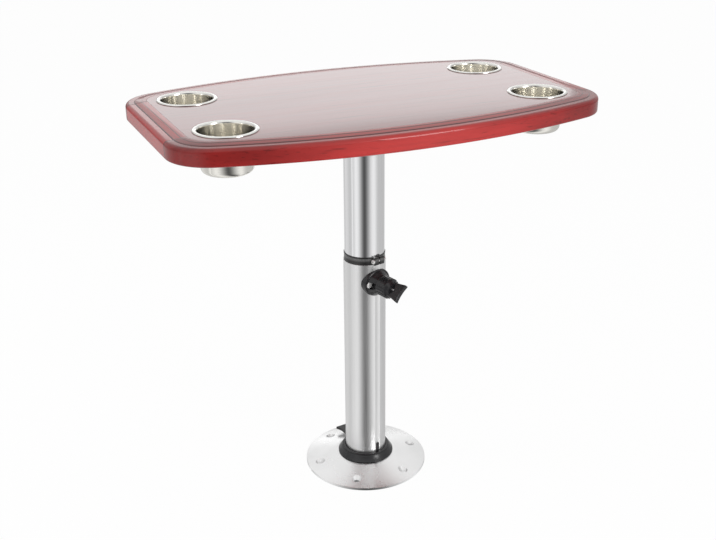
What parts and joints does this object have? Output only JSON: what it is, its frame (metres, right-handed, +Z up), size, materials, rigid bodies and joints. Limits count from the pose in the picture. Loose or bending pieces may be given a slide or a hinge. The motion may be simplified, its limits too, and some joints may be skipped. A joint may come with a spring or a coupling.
{
  "type": "telescoping pedestal table",
  "caption": "Boat-shaped wooden table top with cup holders on a telescoping round pedestal with a wing knob clamp and a round cast floor base.",
  "frame": {"origin": "centre of the base's underside, on the floor and on the column's axis", "axes": "+Z up along the column, +X along the table's length, -Y towards the side that the clamp knob faces"},
  "size_m": [0.59, 0.3738, 0.5626],
  "materials": {
    "varnished_wood": "clear gloss varnish over stained wood",
    "cup_steel": "polished",
    "bright_aluminium": "polished and anodised",
    "brushed_aluminium": "drawn and anodised",
    "cast_aluminium": "satin casting",
    "black_moulding": "semi-gloss",
    "dark_collar": "satin",
    "pale_nylon": "matte",
    "screw_steel": "bright",
    "brass": "machined"
  },
  "bodies": {
    "base": {"base_flange": "cast_aluminium", "base_bush": "black_moulding", "bush_screws": "screw_steel"},
    "lock_ring": {"lock_ring": "black_moulding"},
    "lower_column": {"lower_tube": "brushed_aluminium", "tube_foot": "black_moulding", "knob_boss": "black_moulding", "boss_screws": "screw_steel", "threaded_insert": "brass"},
    "clamp_pad": {"clamp_pad": "pale_nylon"},
    "clamp_knob": {"clamp_stud": "screw_steel", "wing_knob": "black_moulding"},
    "glide": {"glide_ring": "pale_nylon"},
    "upper_column": {"upper_tube": "bright_aluminium", "end_plug": "pale_nylon", "glide_washer": "screw_steel", "glide_screw": "screw_steel", "top_mount": "cast_aluminium", "mount_screws": "screw_steel", "hub_set_screws": "screw_steel", "table_panel": "varnished_wood", "front_rail": "varnished_wood", "rear_rail": "varnished_wood", "left_rail": "varnished_wood", "right_rail": "varnished_wood", "cup_front_left": "cup_steel", "cup_front_right": "cup_steel", "cup_rear_left": "cup_steel", "cup_rear_right": "cup_steel"},
    "stop_collar": {"stop_collar": "dark_collar", "collar_screw": "screw_steel"}
  },
  "joints": [
    {"name": "lock_turn", "type": "hinge", "parent": "base", "child": "lock_ring", "pos_m": [0, 0, 0.019], "axis": [0, 0, 1], "range_deg": [0, 35]},
    {"name": "pedestal_lift", "type": "slide", "parent": "base", "child": "lower_column", "axis": [0, 0, 1], "range_m": [0, 0.04]},
    {"name": "pad_travel", "type": "slide", "parent": "lower_column", "child": "clamp_pad", "axis": [0.225, -0.9744, 0], "range_m": [0, 0.00125]},
    {"name": "knob_turn", "type": "hinge", "parent": "lower_column", "child": "clamp_knob", "pos_m": [0, 0, 0.301], "axis": [0.225, -0.9744, 0], "range_deg": [0, 360]},
    {"name": "height_slide", "type": "slide", "parent": "lower_column", "child": "glide", "axis": [0, 0, 1], "range_m": [0, 0.2]},
    {"name": "table_swivel", "type": "hinge", "parent": "glide", "child": "upper_column", "pos_m": [0, 0, 0.3], "axis": [0, 0, 1], "continuous": true},
    {"name": "collar_slide", "type": "slide", "parent": "upper_column", "child": "stop_collar", "axis": [0, 0, 1], "range_m": [0, 0.14]}
  ],
  "couplings": [
    {"joint": "pad_travel", "follows": "knob_turn", "m_per_rad": 0.00019894}
  ]
}
